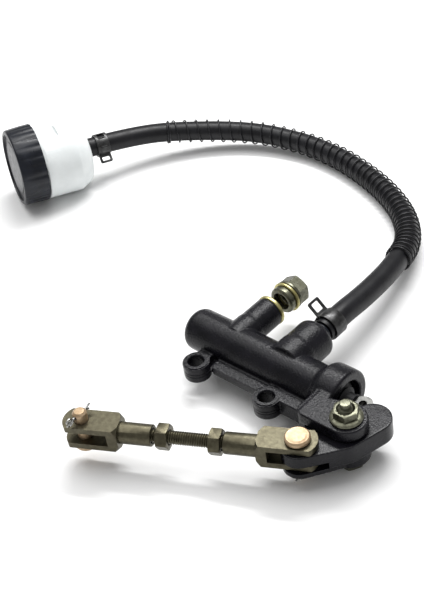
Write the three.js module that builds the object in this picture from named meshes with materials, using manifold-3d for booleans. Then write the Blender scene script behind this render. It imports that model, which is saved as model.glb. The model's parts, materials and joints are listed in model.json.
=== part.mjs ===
// Rear brake master cylinder for a motorcycle: cast cylinder, remote reservoir on a hose, bell crank and
// adjustable linkage. Millimetres, +Z up.
// The parts are drawn in a frame whose zero is the axis of the first mounting hole, on top of its boss:
// +X runs along the barrel towards the pushrod, +Y towards the two ports, +Z up along the mounting holes.
// The last step moves the whole assembly so that the origin is the middle of its footprint.
import * as THREE from 'three';
import { mergeVertices } from 'three/addons/utils/BufferGeometryUtils.js';
import Module from 'manifold-3d';

const wasm = await Module();
wasm.setup();

// ---- driving dimensions ----
const GAP = 0.3; // running gap between neighbouring pieces
const MOUNT = { spacing: 40, holeR: 3.5, bossR: 6.1, height: 8.2 };
const BARREL = { y: 17, z: -0.3, r: 9.7, closedEnd: -16, headStart: 56, end: 69.4, headR: 13 };
const BORE = { r: 7, from: -9, bootSeat: 61, bootSeatR: 8.6 };
const OUTLET = { x: 8.4, z: 2.6, r: 7.1, end: 40.2 };
const INLET = { x: 36.7, z: 2.6, r: 9.2, end: 40, seatR: 5.2, seatFrom: 31 };
const PIVOT = { x: 81.4, y: 1.5, holeR: 3.4, earR: 8.6 };
const EAR = { top: 9.5, thickness: 5.3, left: 63.2, rootLeft: 61.2, rootRight: 66.6 };
const CRANK = { top: 3.9, bottom: -5, lobe: { x: 86.1, y: 11.4, r: 8 }, tineR: 7.5, tineBottom: -7.8, slotR: 12.5 };
const LINK = { z: 1.15, pinX: 71.25, pinY: -16.8, angle: 206.8, pinSpacing: 91.1 };
const CLEVIS = { side: 11.5, slot: 6, slotEnd: 12, tip: 8, blockEnd: 16.5, neckR: 4.6, length: 30.4 };
const M6 = { r: 2.85, holeR: 3.3, nutFlats: 10, nutHeight: 5 };
const PIN = { r: 3, headR: 5.3, headHeight: 2.2 };
const PUSHROD = { eyeX: 77.2, eyeR: 4.2, eyeHoleR: 1.7, eyeHeight: 5, strokePerRadian: 12.8, fullTurn: 25 };
const HOSE = { r: 5.3, boreR: 3.5, steps: 26 };
const GUARD = { r: 6.5, boreR: 6, from: 0.2, to: 0.86 };
const CLAMP = { width: 7, boreR: 5.7, r: 6.4 };
const RESERVOIR = { capR: 21, capLength: 14, bodyR: 19, bodyDrop: 2, end: 41.5, wall: 1.6 };
const RESERVOIR_AT = new THREE.Vector3(-182.1, 53, 8.1); // middle of the cap's face
const RESERVOIR_AXIS = new THREE.Vector3(0.418, 0.905, -0.076).normalize(); // from the cap to the hose

// ---- solids: closed geometries, and joining and cutting them ----
const degrees = THREE.MathUtils.degToRad;

function toManifold(geometry) {
  const bare = geometry.clone();
  bare.deleteAttribute('normal');
  bare.deleteAttribute('uv');
  const merged = mergeVertices(bare, 1e-4);
  const position = merged.getAttribute('position');
  const index = merged.getIndex().array;
  const corner = (i) => new THREE.Vector3().fromBufferAttribute(position, i);
  const triangles = [];
  let volume = 0;
  for (let i = 0; i < index.length; i += 3) {
    const [a, b, c] = [index[i], index[i + 1], index[i + 2]];
    if (a === b || b === c || c === a) continue;
    triangles.push(a, b, c);
    volume += corner(a).dot(corner(b).cross(corner(c)));
  }
  if (volume < 0) triangles.reverse(); // faces must point out
  return new wasm.Manifold(new wasm.Mesh({
    numProp: 3,
    vertProperties: new Float32Array(position.array),
    triVerts: new Uint32Array(triangles),
  }));
}

function fromManifold(manifold) {
  const mesh = manifold.getMesh();
  const geometry = new THREE.BufferGeometry();
  geometry.setAttribute('position', new THREE.BufferAttribute(new Float32Array(mesh.vertProperties), 3));
  geometry.setIndex(new THREE.BufferAttribute(new Uint32Array(mesh.triVerts), 1));
  return geometry;
}

const join = (...parts) => fromManifold(parts.map(toManifold).reduce((whole, part) => whole.add(part)));
const common = (a, b) => fromManifold(toManifold(a).intersect(toManifold(b)));

function cut(base, ...tools) {
  return fromManifold(tools.map(toManifold).reduce((whole, tool) => whole.subtract(tool), toManifold(base)));
}

// A solid turned about an axis through (0, 0, 0); its profile is a list of [place along the axis, radius].
function turned(axis, profile, segments = 24) {
  const points = profile.map(([along, radius]) => new THREE.Vector2(radius, along));
  const geometry = new THREE.LatheGeometry(points, segments);
  if (axis === 'x') geometry.rotateZ(-Math.PI / 2);
  if (axis === 'z') geometry.rotateX(Math.PI / 2);
  return geometry;
}

const rod = (axis, r, from, to, segments = 20) =>
  turned(axis, [[from, 0], [from, r], [to, r], [to, 0]], segments);

const ring = (axis, r, holeR, from, to, segments = 28) =>
  turned(axis, [[from, holeR], [from, r], [to, r], [to, holeR], [from, holeR]], segments);

// Profile points of a quarter round about a centre, from one angle in degrees to another.
function round(along, radius, r, fromAngle, toAngle, steps = 3) {
  const at = (k) => degrees(fromAngle + ((toAngle - fromAngle) * k) / steps);
  return Array.from({ length: steps + 1 }, (_, k) => [along + r * Math.cos(at(k)), radius + r * Math.sin(at(k))]);
}

function slab(shape, from, to, curveSegments = 10) {
  const geometry = new THREE.ExtrudeGeometry(shape, { depth: to - from, bevelEnabled: false, curveSegments });
  return geometry.translate(0, 0, from);
}

function block(x0, x1, y0, y1, z0, z1) {
  const geometry = new THREE.BoxGeometry(x1 - x0, y1 - y0, z1 - z0);
  return geometry.translate((x0 + x1) / 2, (y0 + y1) / 2, (z0 + z1) / 2);
}

// Outline of a belt round two circles, as on a crank arm.
function beltShape(a, b) {
  const heading = Math.atan2(b.y - a.y, b.x - a.x);
  const lean = Math.acos((a.r - b.r) / Math.hypot(b.x - a.x, b.y - a.y));
  const shape = new THREE.Shape();
  shape.absarc(a.x, a.y, a.r, heading + lean, heading - lean + 2 * Math.PI, false);
  shape.absarc(b.x, b.y, b.r, heading - lean, heading + lean, false);
  shape.closePath();
  return shape;
}

// A hexagon bar along an axis, its corners turned off at both ends.
function hexagon(axis, flats, from, to, bevel = 0.6) {
  const r = flats / Math.sqrt(3);
  const bar = rod('y', r, from, to, 6);
  const body = turned('y', [[from, 0], [from, r - bevel], [from + bevel, r + 0.05], [to - bevel, r + 0.05],
    [to, r - bevel], [to, 0]]);
  const geometry = common(bar, body);
  if (axis === 'x') geometry.rotateZ(-Math.PI / 2);
  if (axis === 'z') geometry.rotateX(Math.PI / 2);
  return geometry;
}

function tube(curve, r, sides, steps, boreR = 0) {
  const section = new THREE.Shape();
  section.absarc(0, 0, r, 0, 2 * Math.PI, false);
  if (boreR) section.holes.push(new THREE.Path().absarc(0, 0, boreR, 0, 2 * Math.PI, true));
  return new THREE.ExtrudeGeometry(section, { steps, curveSegments: sides / 2, extrudePath: curve });
}

// ---- finishes ----
const finish = (color, roughness, metalness) => () =>
  new THREE.MeshStandardMaterial({ color, roughness, metalness });
const blackPaint = finish(0x121214, 0.45, 0.2);
const greenZinc = finish(0x4a4a3c, 0.4, 0.85);
const goldZinc = finish(0xc9b04a, 0.35, 0.8);
const paleZinc = finish(0xc8ad7c, 0.4, 0.8);
const brightSteel = finish(0xb8b8b4, 0.3, 0.9);
const blackSteel = finish(0x1a1a1b, 0.4, 0.7);
const blackRubber = finish(0x17171a, 0.7, 0);
const blackPlastic = finish(0x18191c, 0.45, 0);
const whitePlastic = finish(0xe6e8e6, 0.4, 0);
const brightAluminium = finish(0xa9a9a6, 0.35, 0.9);

const assembly = new THREE.Group();
const drawing = new THREE.Group();
assembly.add(drawing);

function piece(name, geometry, material, parent = drawing) {
  const mesh = new THREE.Mesh(geometry, material());
  mesh.name = name;
  parent.add(mesh);
  return mesh;
}

const along = (x, y, z) => (geometry) => geometry.translate(x, y, z);
const onBarrel = along(0, BARREL.y, BARREL.z);
const onOutlet = along(OUTLET.x, 0, OUTLET.z);
const onInlet = along(INLET.x, 0, INLET.z);
const onPivot = along(PIVOT.x, PIVOT.y, 0);

// ---- cylinder casting ----
function earShape() {
  const shape = new THREE.Shape();
  const front = PIVOT.y - PIVOT.earR;
  const corner = 1.6;
  shape.moveTo(EAR.left, BARREL.y - 4);
  shape.lineTo(EAR.left, front + corner);
  shape.absarc(EAR.left + corner, front + corner, corner, Math.PI, 1.5 * Math.PI, false);
  shape.absarc(PIVOT.x, PIVOT.y, PIVOT.earR, -0.5 * Math.PI, degrees(102), false);
  shape.lineTo(BARREL.end - 0.6, PIVOT.y + 5.2);
  shape.lineTo(BARREL.end - 2, BARREL.y - 3);
  shape.closePath();
  return shape;
}

function mountBoss(x) {
  const { bossR: r, height: h } = MOUNT;
  const profile = [[-h, 0], ...round(-h + 0.8, r - 0.8, 0.8, 180, 90, 1),
    ...round(-0.5, r - 0.5, 0.5, 90, 0, 1), [0, 0]];
  return along(x, 0, 0)(turned('z', profile));
}

function mountHole(x) {
  const { holeR: r, height: h } = MOUNT;
  const bevel = 0.4;
  const profile = [[-h - 1, 0], [-h - 1, r + bevel + 1], [-h + bevel, r], [-bevel, r], [1, r + bevel + 1], [1, 0]];
  return along(x, 0, 0)(turned('z', profile, 20));
}

function webShape(points) {
  return new THREE.Shape(points.map(([x, y]) => new THREE.Vector2(x, y)));
}

function cylinderBody() {
  const { closedEnd, headStart, end, r, headR } = BARREL;
  const endRound = 4.5;
  const barrel = onBarrel(turned('x', [[closedEnd, 0],
    ...round(closedEnd + endRound, r - endRound, endRound, 180, 90, 3),
    ...round(headStart - 1.5, r + 1.5, 1.5, 270, 320, 2), [headStart + 3.5, headR - 0.5],
    ...round(headStart + 5, headR - 1, 1, 120, 90, 1), ...round(end - 1.2, headR - 1.2, 1.2, 90, 0, 1),
    [end, 0]], 32));
  const outlet = onOutlet(turned('y', [[BARREL.y, 0], [BARREL.y, OUTLET.r + 0.3], [BARREL.y + 9, OUTLET.r + 0.3],
    [BARREL.y + 10.4, OUTLET.r], ...round(OUTLET.end - 0.5, OUTLET.r - 0.5, 0.5, 90, 0, 1),
    [OUTLET.end, 0]]));
  const shoulder = 3.4;
  const inlet = onInlet(turned('y', [[BARREL.y, 0], [BARREL.y, INLET.r + 0.3], [BARREL.y + 8.4, INLET.r + 0.3],
    [BARREL.y + 10, INLET.r], ...round(INLET.end - shoulder, INLET.r - shoulder, shoulder, 90, 0),
    [INLET.end, 0]]));
  const lowerEarTop = CRANK.bottom - GAP;
  const upperEar = slab(earShape(), EAR.top - EAR.thickness, EAR.top);
  const lowerEar = slab(earShape(), lowerEarTop - EAR.thickness, lowerEarTop);
  const bosses = [0, MOUNT.spacing].map(mountBoss);
  const gussets = [0, MOUNT.spacing].map((x) => block(x - 3.6, x + 3.6, 0, BARREL.y - 4, -7.2, -0.3));
  const lowWeb = block(1, 8, 2, BARREL.y - 4, -5.2, -3.4);
  const frontPlate = slab(webShape([[6.8, 3], [8.2, 1.3], [38, 1.3], [38, 13], [6.8, 13]]), -5.2, -1.2);
  const rearPlate = slab(webShape([[42, 1], [55, 1], [62, -2], [66, -2], [66, 13], [42, 13]]), -8.2, -0.5);
  const rootShape = (front) => webShape([[EAR.rootLeft, front + 2], [EAR.rootLeft + 2, front], [EAR.rootRight, front],
    [EAR.rootRight, 13], [EAR.rootLeft, 13]]);
  const front = PIVOT.y - PIVOT.earR;
  const upperRoot = slab(rootShape(front + 0.5), -1.2, EAR.top - 0.6);
  const lowerRoot = slab(rootShape(2), lowerEarTop - EAR.thickness + 0.6, -1);
  const solid = join(barrel, outlet, inlet, upperEar, lowerEar, ...bosses, ...gussets, lowWeb, frontPlate,
    rearPlate, upperRoot, lowerRoot);
  const bore = onBarrel(turned('x', [[BORE.from, 0], [BORE.from, BORE.r], [BORE.bootSeat, BORE.r],
    [BORE.bootSeat, BORE.bootSeatR], [end - 0.6, BORE.bootSeatR], [end + 0.4, BORE.bootSeatR + 1], [end + 0.4, 0]]));
  const clipGroove = onBarrel(ring('x', BORE.r + 0.9, BORE.r - 1, 58.7, 60.1));
  const outletHole = onOutlet(turned('y', [[BARREL.y, 0], [BARREL.y, 1.5], [26, 1.5], [28, 5.1],
    [OUTLET.end - 0.5, 5.1], [OUTLET.end + 0.5, 6.1], [OUTLET.end + 0.5, 0]], 20));
  const inletHole = onInlet(turned('y', [[BARREL.y, 0], [BARREL.y, 1.5], [INLET.seatFrom, 1.5],
    [INLET.seatFrom, INLET.seatR], [INLET.end + 1, INLET.seatR], [INLET.end + 1, 0]], 20));
  const pivotHole = onPivot(rod('z', PIVOT.holeR, -15, 15));
  return cut(solid, bore, clipGroove, outletHole, inletHole, pivotHole, ...[0, MOUNT.spacing].map(mountHole));
}

// ---- inside the bore ----
function returnSpring() {
  const turns = 7;
  const [from, to, r, wire] = [BORE.from + 1.2, 15.2, 4.6, 0.55];
  class Helix extends THREE.Curve {
    getPoint(t) {
      const a = 2 * Math.PI * turns * t;
      return new THREE.Vector3(from + (to - from) * t, r * Math.cos(a), r * Math.sin(a));
    }
  }
  return onBarrel(tube(new Helix(), wire, 6, turns * 12));
}

function primaryCup() {
  const r = BORE.r - GAP;
  return onBarrel(turned('x', [[18.5, 0], [18.2, r - 1.6], [15.7, r - 0.9], [15.7, r], [19.5, r], [20.1, r - 0.5],
    [20.1, 0]]));
}

function piston() {
  const r = BORE.r - GAP;
  return onBarrel(turned('x', [[20.4, 0], [20.4, r - 0.6], [21, r], [24, r], [25.5, 4], [44, 4], [45, r], [47, r],
    [47, 4.4], [51.6, 4.4], [51.6, r], [56.6, r], [57.2, r - 0.6], [57.2, 4.7], [55.6, 4.4],
    [54.6, 3.3], [53, 0]]));
}

function rearCup() {
  const r = BORE.r - GAP;
  return onBarrel(turned('x', [[47.3, 4.7], [47.3, r - 1], [47.9, r], [50.6, r], [51.3, r - 0.7], [51.3, 4.7],
    [47.3, 4.7]]));
}

function circlip() {
  const band = ring('x', BORE.r + 0.6, BORE.r - 1.1, 59, 59.8);
  return onBarrel(cut(band, block(58, 61, -2.4, 2.4, 0, 12)));
}

function pushrod() {
  const { eyeX, eyeR, eyeHoleR, eyeHeight } = PUSHROD;
  const shank = turned('x', [[53.6, 0], [54.3, 2], [55.1, 3.3], [55.7, 3.8], [56.9, 3.8], [56.9, 2.5],
    [eyeX - 2, 2.5], [eyeX - 2, 0]], 20);
  const eye = along(eyeX, 0, 0)(rod('z', eyeR, -eyeHeight / 2, eyeHeight / 2, 24));
  const hole = along(eyeX, 0, 0)(rod('z', eyeHoleR, -5, 5, 16));
  return onBarrel(cut(join(shank, eye), hole));
}

function dustBoot() {
  const outer = BORE.bootSeatR - GAP;
  return onBarrel(turned('x', [[61.5, 5], [61.5, outer], [64.5, outer], [64.5, 7.4], [65.6, 6], [66.6, 6.8],
    [67.6, 5], [68.6, 5.6], [69.8, 3.9], [72.4, 3.5], [72.6, 4.1], [73.4, 4.1], [73.4, 2.85], [69.2, 2.85],
    [68.5, 4.6], [67.6, 4.2], [66.7, 5.9], [65.6, 5.1], [64.1, 6.6], [63, 5], [61.5, 5]]));
}

// ---- bell crank on its pivot ----
function bellCrank() {
  const { top, bottom, lobe, tineR, tineBottom, slotR } = CRANK;
  const pin = { x: LINK.pinX, y: LINK.pinY };
  const waist = { x: PIVOT.x - 0.8, y: PIVOT.y - 3, r: 9.8 };
  const upperArm = slab(beltShape(waist, lobe), bottom, top);
  const lowerArm = slab(beltShape(waist, { ...pin, r: tineR }), bottom, top);
  const tine = slab(beltShape({ x: PIVOT.x - 1.4, y: PIVOT.y - 5, r: 8 }, { ...pin, r: tineR }), tineBottom,
    bottom + 0.5);
  const earRoom = block(50, 110, PIVOT.y - PIVOT.earR - 2 * GAP, 30, tineBottom - 1, bottom);
  const around = (r, from, to) => along(pin.x, pin.y, 0)(rod('z', r, from, to, 32));
  const forkSlot = around(slotR, LINK.z - CLEVIS.side / 2 - 0.6, LINK.z - CLEVIS.slot / 2 + GAP);
  const pinHole = around(M6.holeR, tineBottom - 1, top + 1);
  const bushHole = onPivot(rod('z', 5.1, bottom - 1, top + 1, 24));
  // The pocket leaves room for the pushrod's eye at every angle of the crank.
  const pocket = [];
  const steps = 6;
  for (let k = 0; k <= steps; k += 1) {
    const turn = (degrees(PUSHROD.fullTurn) * k) / steps;
    const eye = new THREE.Vector2(PUSHROD.eyeX - PUSHROD.strokePerRadian * turn, BARREL.y);
    eye.rotateAround(new THREE.Vector2(PIVOT.x, PIVOT.y), -turn);
    const half = PUSHROD.eyeHeight / 2 + GAP;
    pocket.push(along(eye.x, eye.y, BARREL.z)(rod('z', PUSHROD.eyeR + 0.4, -half, half)));
  }
  return cut(join(upperArm, lowerArm, tine), earRoom, forkSlot, pinHole, bushHole, ...pocket);
}

function pivotBolt() {
  const under = CRANK.bottom - GAP - EAR.thickness - GAP;
  const flange = turned('z', [[under - 1.3, 0], [under - 1.3, 6.6], [under - 0.4, 6.9], [under, 6.9], [under, 0]]);
  const head = hexagon('z', M6.nutFlats, under - 4.3, under - 1, 0.8);
  const shank = turned('z', [[under - 0.5, 0], [under - 0.5, M6.r], [15, M6.r],
    [15.5, 2.4], [17.2, 2.4], [17.6, 2], [17.6, 0]]);
  return onPivot(join(flange, head, shank));
}

function pivotNut() {
  const seat = EAR.top + GAP;
  const flange = turned('z', [[seat, 0], [seat, 6.9], [seat + 0.7, 6.9], [seat + 1.5, 5.6], [seat + 1.5, 0]]);
  const body = hexagon('z', M6.nutFlats - 0.4, seat + 0.2, seat + 4.85, 0.8);
  return onPivot(cut(join(flange, body), rod('z', M6.r + GAP, seat - 1, seat + 8)));
}

// ---- linkage: drawn along +X from the crank's pin, then turned into place ----
const linkage = new THREE.Group();
linkage.position.set(LINK.pinX, LINK.pinY, LINK.z);
linkage.rotation.z = degrees(LINK.angle);
drawing.add(linkage);

function clevis() {
  const { side, slot, slotEnd, tip, blockEnd, neckR, length } = CLEVIS;
  const corner = side / Math.SQRT2;
  const bar = block(-tip, blockEnd, -side / 2, side / 2, -side / 2, side / 2);
  const turning = turned('x', [[-tip - 1, 0], [-tip - 1, corner + 1], [blockEnd - 1.8, corner + 0.1],
    [blockEnd, corner - 1.7], [blockEnd, 0]]);
  const nose = join(rod('z', tip, -side, side, 32), block(0, blockEnd + 1, -side, side, -side, side));
  const neck = turned('x', [[blockEnd - 1, 0], [blockEnd - 1, neckR], [length - 0.6, neckR], [length, neckR - 0.6],
    [length, 0]]);
  const body = join(common(common(bar, turning), nose), neck);
  const slotCut = block(-tip - 1, slotEnd, -side, side, -slot / 2, slot / 2);
  const threadHole = rod('x', M6.holeR - 0.1, slotEnd - 1, length + 1);
  return cut(body, slotCut, threadHole, rod('z', M6.holeR, -side, side));
}

function lockNut(from) {
  const nut = hexagon('x', M6.nutFlats, from, from + M6.nutHeight, 0.9);
  return cut(nut, rod('x', M6.r + GAP, from - 1, from + M6.nutHeight + 1));
}

// A clevis pin standing on its head at z = 0, with a cross hole near its tip.
function clevisPin(length, crossHole) {
  const { r, headR, headHeight } = PIN;
  const body = turned('z', [[-headHeight, 0], [-headHeight, headR - 1.2], [-headHeight + 0.5, headR - 0.3],
    [-headHeight + 1.1, headR], [-0.5, headR], [0, headR - 0.5], [0, r], [length - 0.9, r], [length, r - 0.9],
    [length, 0]]);
  return cut(body, along(0, 0, crossHole)(rod('y', 1, -5, 5, 16)));
}

// A cotter pin through a cross hole along y: a loop at one side, two legs bent apart at the other.
function cotterPin() {
  const wire = 0.6;
  const points = [[1.2, -7.4], [0, -3.6], [0, 3.4], [0.5, 4.9], [1.8, 6.4]].map(([z, y]) =>
    new THREE.Vector3(0, y, z * 0.6));
  const leg = tube(new THREE.CatmullRomCurve3(points), wire, 8, 14);
  const eye = new THREE.TorusGeometry(1.9, wire, 8, 20);
  eye.rotateY(Math.PI / 2);
  return join(leg, eye.translate(0, -5.2, 0));
}

// ---- ports ----
function banjoBolt() {
  const underHead = 53.6;
  const shank = turned('y', [[29.5, 0], [29.5, 4], [30.4, 4.8], [43, 4.8], [43.6, 4.2], [underHead + 1, 4.2],
    [underHead + 1, 0]]);
  const flange = turned('y', [[underHead, 0], [underHead, 6.7], [underHead + 0.4, 7.1], [underHead + 1.2, 7.1],
    [underHead + 1.8, 6.4], [underHead + 1.8, 0]]);
  const head = hexagon('y', 12, underHead + 0.6, underHead + 7.2, 0.8);
  const crossHole = along(0, 46, 0)(rod('z', 1.6, -6, 6, 16));
  const passage = rod('y', 1.6, 29, 47.5, 16);
  return onOutlet(cut(join(shank, flange, head), crossHole, passage));
}

const crushWasher = (from, to) => onOutlet(turned('y', [[from, 5.3], [from, 6.9], [from + 0.35, 7.3],
  [to - 0.35, 7.3], [to, 6.9], [to, 5.3], [from, 5.3]], 28));

const banjoCollar = () => onOutlet(turned('y', [[47.9, 4.6], [47.9, 5.6], [48.9, 6.6], [51.5, 6.6], [51.5, 4.6],
  [47.9, 4.6]]));

function inletNipple() {
  const seat = INLET.seatFrom + 2.2;
  const r = INLET.seatR - GAP;
  return onInlet(turned('y', [[seat, 1.5], [seat, r], [INLET.end - 0.6, r], [INLET.end + 0.2, 4.7],
    [INLET.end + 2.2, 4.7], [INLET.end + 2.6, 2.6], [54, 2.6], [54.4, 2.85], [56.4, 2.2], [56.4, 1.5],
    [seat, 1.5]]));
}

const nippleSeal = () => onInlet(turned('y', round(INLET.seatFrom + 1.1, 3.6, 0.8, 360, 0, 6)));

// ---- hose, its guard and its clamps ----
const reservoirPoint = (s) => RESERVOIR_AT.clone().addScaledVector(RESERVOIR_AXIS, s);
const hoseEnd = RESERVOIR.end + 0.9;
const hoseRoute = [
  [36.7, 43, 2.6], [36.6, 50, 2.6], [36.4, 58, 2.4], [35.9, 69, 1.1], [34.8, 81.7, -0.4], [33, 94.4, -1.9],
  [30.2, 106.8, -3.4], [26.2, 118.9, -5.5], [19.6, 129.9, -7.1], [11.1, 139.4, -8], [1, 147.4, -8.5],
  [-10.2, 153.9, -8.6], [-21.9, 159.2, -8.6], [-34.1, 163.4, -8.6], [-46.6, 166.7, -8.4], [-59.3, 168.5, -8.2],
  [-72.2, 168.9, -7.7], [-85, 167.4, -7.2], [-97.5, 164.4, -6.4], [-109.4, 159.5, -5.5], [-120.4, 152.9, -4.5],
  [-130.5, 144.9, -3.2], [-139.4, 135.9, -1.4], [-147.2, 125.8, 0.6], [-153.5, 114.9, 2.3],
].map(([x, y, z]) => new THREE.Vector3(x, y, z));
hoseRoute.push(reservoirPoint(hoseEnd + 14), reservoirPoint(hoseEnd + 7), reservoirPoint(hoseEnd));
const hoseCurve = new THREE.CatmullRomCurve3(hoseRoute);

class Stretch extends THREE.Curve {
  getPoint(t) {
    return hoseCurve.getPointAt(GUARD.from + (GUARD.to - GUARD.from) * t);
  }
}

function clampBand() {
  const { width, boreR, r } = CLAMP;
  const half = width / 2;
  const band = ring('y', r, boreR, -half, half, 32);
  const loop = cut(block(-half, half, -half, half, -0.5, 0.5).translate(r + half - 0.3, 0, 0),
    block(-2.1, 2.1, -2.1, 2.1, -2, 2).translate(r + half - 0.1, 0, 0));
  const tongue = block(0, 3.6, -2, 2, -0.5, 0.5).translate(r - 0.4, 0, 0).rotateY(degrees(-55));
  return join(band, loop, tongue);
}

// ---- reservoir: drawn along +Y from the cap's face, then turned onto its axis ----
const reservoir = new THREE.Group();
reservoir.position.copy(RESERVOIR_AT);
reservoir.quaternion.setFromUnitVectors(new THREE.Vector3(0, 1, 0), RESERVOIR_AXIS);
drawing.add(reservoir);

function reservoirCap() {
  const { capR: r, capLength: length } = RESERVOIR;
  const ribs = 20;
  const shell = turned('y', [[1.4, 0], [1.4, r - 2.6], [0, r - 2.2], [0, r - 1], [1, r], [length, r],
    [length, 18.9], [2.9, 18.9], [2.9, 0]], 40);
  const flutes = Array.from({ length: ribs }, (_, k) => {
    const a = (2 * Math.PI * k) / ribs;
    return along(Math.cos(a) * (r + 0.35), 0, Math.sin(a) * (r + 0.35))(rod('y', 1, 1.4, length + 1, 6));
  });
  return cut(shell, ...flutes);
}

function reservoirBottle() {
  const { bodyR: r, bodyDrop, end, wall } = RESERVOIR;
  const endRound = 8;
  const neckR = 18.1;
  const outerBody = turned('y', [[14.6, 0], [14.6, r - 0.5], [15.1, r], [30, r],
    ...round(end - endRound, r - endRound - 1.5, endRound, 80, 0, 4), [end, 0]], 36);
  const innerBody = turned('y', [[17, 0], [17, neckR - wall - 1], [20, r - wall], [30, r - wall],
    ...round(end - endRound, r - endRound - 1.5, endRound - wall, 80, 0), [end - wall, 0]], 28);
  outerBody.translate(0, 0, -bodyDrop);
  innerBody.translate(0, 0, -bodyDrop);
  const neck = rod('y', neckR, 5.6, 16, 36);
  const neckBore = rod('y', neckR - wall, 5, 19, 28);
  const bracketNotch = block(-30, 30, 20, 26, 15, 30);
  const notchWall = block(-30, 30, 18.4, 27.6, 13.4, 30);
  const spigot = turned('y', [[end - 1, 0], [end - 1, 5], [end + 0.5, 5], [end + 0.5, 2.6], [hoseEnd + 11, 2.6],
    [hoseEnd + 11.5, 2.85], [hoseEnd + 13.5, 2.2], [hoseEnd + 13.5, 0]], 24);
  const outletBore = rod('y', 1.5, end - 4, hoseEnd + 15, 16);
  return cut(join(cut(join(outerBody, neck), bracketNotch), spigot), cut(innerBody, notchWall), neckBore,
    outletBore);
}

const diaphragmPlate = () => ring('y', 17.8, 1.6, 3.3, 4);

const diaphragm = () => turned('y', [[13, 0], [13, 9.4], [12, 10.5], [8.2, 11.2], [7.2, 13], [4.3, 13.4],
  [4.3, 17.9], [5.3, 17.9], [5.3, 14.6], [8, 14], [9, 12.4], [13, 11.6], [14.2, 10], [14.2, 0]]);

// ---- assembly ----
piece('cylinder_body', cylinderBody(), blackPaint);
piece('return_spring', returnSpring(), brightSteel);
piece('primary_cup', primaryCup(), blackRubber);
piece('piston', piston(), brightAluminium);
piece('secondary_cup', rearCup(), blackRubber);
piece('stop_washer', onBarrel(ring('x', BORE.r - GAP, 3.3, 57.6, 58.6)), brightSteel);
piece('circlip', circlip(), brightSteel);
piece('pushrod', pushrod(), brightSteel);
piece('dust_boot', dustBoot(), blackRubber);

piece('bell_crank', bellCrank(), blackPaint);
piece('pivot_bush', onPivot(ring('z', 4.8, 3.2, CRANK.bottom, CRANK.top)), goldZinc);
piece('pivot_bolt', pivotBolt(), blackSteel);
piece('pivot_nut', pivotNut(), greenZinc);

const farEnd = new THREE.Group();
farEnd.position.x = LINK.pinSpacing;
farEnd.rotation.z = Math.PI;
linkage.add(farEnd);
piece('clevis_crank_end', clevis(), greenZinc, linkage);
piece('clevis_pedal_end', clevis(), greenZinc, farEnd);
const rodEnd = 21;
piece('linkage_rod', rod('x', M6.r, rodEnd, LINK.pinSpacing - rodEnd), greenZinc, linkage);
piece('lock_nut_crank_end', lockNut(CLEVIS.length + 0.9), greenZinc, linkage);
piece('lock_nut_pedal_end', lockNut(CLEVIS.length + 2.2), greenZinc, farEnd);

const faceZ = CLEVIS.side / 2;
const crankPinLength = 19.2;
const crankCotter = 17.5;
const crankPin = piece('clevis_pin_crank_end', clevisPin(crankPinLength, crankCotter), paleZinc, linkage);
crankPin.rotation.x = Math.PI;
crankPin.position.z = faceZ + GAP;
piece('pin_washer', ring('z', 6, 3.3, -1, 0), greenZinc, linkage).position.z =
  CRANK.tineBottom - LINK.z - GAP;
const crankCotterPin = piece('cotter_pin_crank_end', cotterPin(), brightSteel, linkage);
crankCotterPin.position.z = faceZ + GAP - crankCotter;
crankCotterPin.rotation.y = Math.PI / 2;
const pedalPinLength = 16.6;
const pedalCotter = 14.7;
const pedalPin = piece('clevis_pin_pedal_end', clevisPin(pedalPinLength, pedalCotter), paleZinc, farEnd);
pedalPin.position.z = -faceZ - GAP;
pedalPin.rotation.z = degrees(-25);
const pedalCotterPin = piece('cotter_pin_pedal_end', cotterPin(), brightSteel, farEnd);
pedalCotterPin.position.z = -faceZ - GAP + pedalCotter;
pedalCotterPin.rotation.z = degrees(-25);

piece('banjo_bolt', banjoBolt(), greenZinc);
piece('crush_washer_inner', crushWasher(OUTLET.end + GAP, OUTLET.end + 2.2), goldZinc);
piece('banjo_collar', banjoCollar(), greenZinc);
piece('crush_washer_outer', crushWasher(51.8, 53.3), goldZinc);
piece('inlet_nipple', inletNipple(), blackPlastic);
piece('nipple_seal', nippleSeal(), blackRubber);

piece('hose', tube(hoseCurve, HOSE.r, 10, HOSE.steps, HOSE.boreR), blackRubber);
piece('spring_guard', tube(new Stretch(), GUARD.r, 12, 22, GUARD.boreR), blackSteel);
const cylinderClamp = piece('hose_clamp_cylinder', clampBand().rotateY(degrees(-137)), blackSteel);
cylinderClamp.position.copy(hoseRoute[1]).y = 48.6;
const reservoirClamp = piece('hose_clamp_reservoir', clampBand().rotateY(degrees(40)), blackSteel, reservoir);
reservoirClamp.position.y = hoseEnd + 7.6;

piece('reservoir_bottle', reservoirBottle(), whitePlastic, reservoir);
piece('reservoir_cap', reservoirCap(), blackPlastic, reservoir);
piece('diaphragm_plate', diaphragmPlate(), whitePlastic, reservoir);
piece('diaphragm', diaphragm(), blackRubber, reservoir);

// The origin is under the middle of the footprint, at the lowest point, with the hose and its fittings left out.
const ON_HOSE = ['hose', 'spring_guard', 'hose_clamp_cylinder', 'hose_clamp_reservoir'];
assembly.updateMatrixWorld(true);
const footprint = new THREE.Box3();
drawing.traverse((node) => {
  if (node.isMesh && !ON_HOSE.includes(node.name)) footprint.expandByObject(node, true);
});
const middle = footprint.getCenter(new THREE.Vector3());
drawing.position.set(-middle.x, -middle.y, -footprint.min.z);

export default assembly;
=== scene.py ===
"""Rear brake master cylinder: the finished look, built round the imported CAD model.

Shapes are drawn in millimetres in the CAD source's drawing frame: zero is the axis of the first mounting
hole on top of its boss, +X runs along the barrel to the pushrod, +Y to the ports, +Z up. put() moves each
finished mesh into the row frame, in metres.
"""

import json
import math

import bmesh
import bpy
from mathutils import Matrix, Vector


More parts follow.
